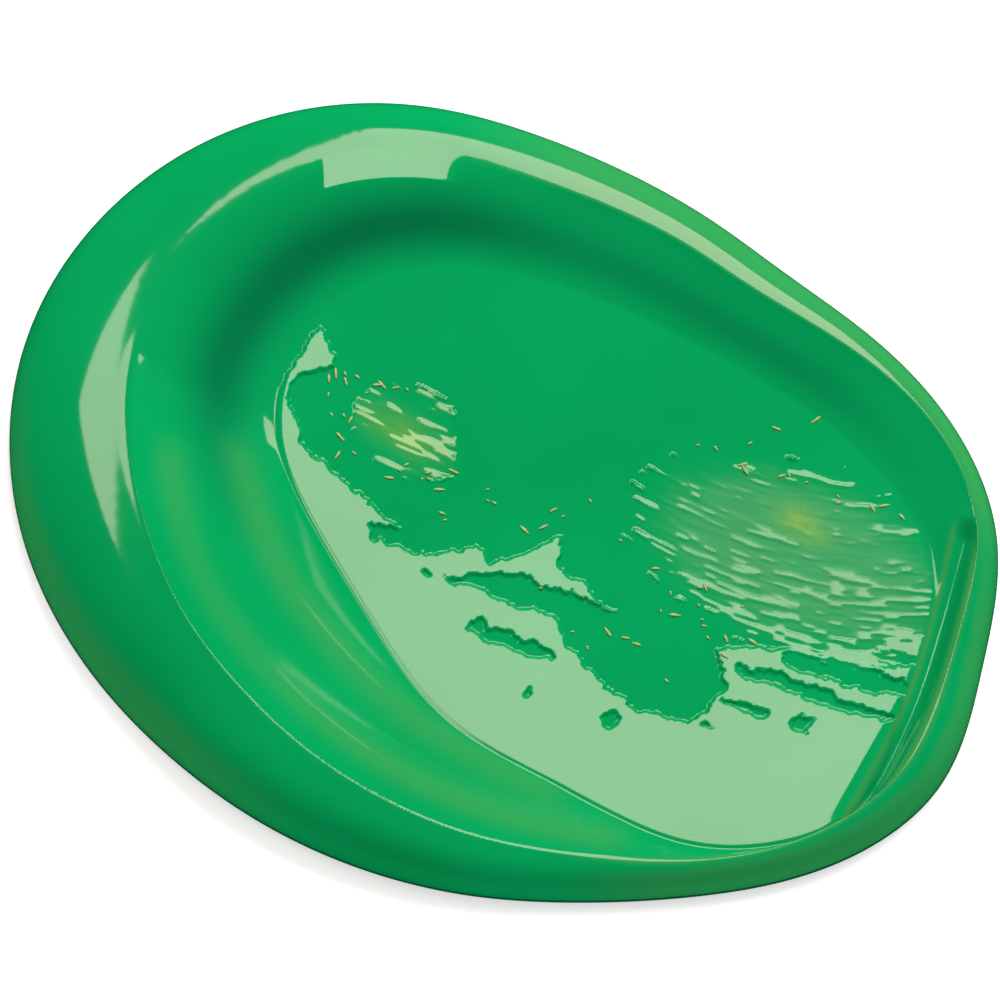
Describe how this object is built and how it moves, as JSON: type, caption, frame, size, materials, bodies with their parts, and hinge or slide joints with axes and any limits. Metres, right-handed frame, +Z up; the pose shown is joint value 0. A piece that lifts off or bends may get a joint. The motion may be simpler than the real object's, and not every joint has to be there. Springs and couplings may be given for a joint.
{
  "type": "paint dollop",
  "caption": "Dollop of thick wet green paint drawn by a palette knife into a dished smear with a rolled rim, a torn sheet and a folded end.",
  "frame": {"origin": "centre of the smear's bounding box in plan, on the flat surface that it stands on", "axes": "+Z up from the resting surface, +X along the drawn length towards the folded end, +Y towards the far rim"},
  "size_m": [0.0444, 0.0385, 0.0037],
  "materials": {
    "paint_green": "wet gloss",
    "paint_light": "wet gloss, yellower green"
  },
  "bodies": {
    "root": {"contact_film": "paint_green", "outer_roll": "paint_green", "far_roll": "paint_light", "near_shelf": "paint_green", "far_wall": "paint_green", "outer_swirl_band": "paint_light", "inner_swirl_band": "paint_light", "dish_floor": "paint_green", "near_slope": "paint_green", "torn_sheet": "paint_green", "drag_ridges": "paint_light", "end_fold": "paint_green", "end_curl": "paint_green", "torn_lip": "paint_light", "flecks": "paint_light"}
  },
  "joints": []
}
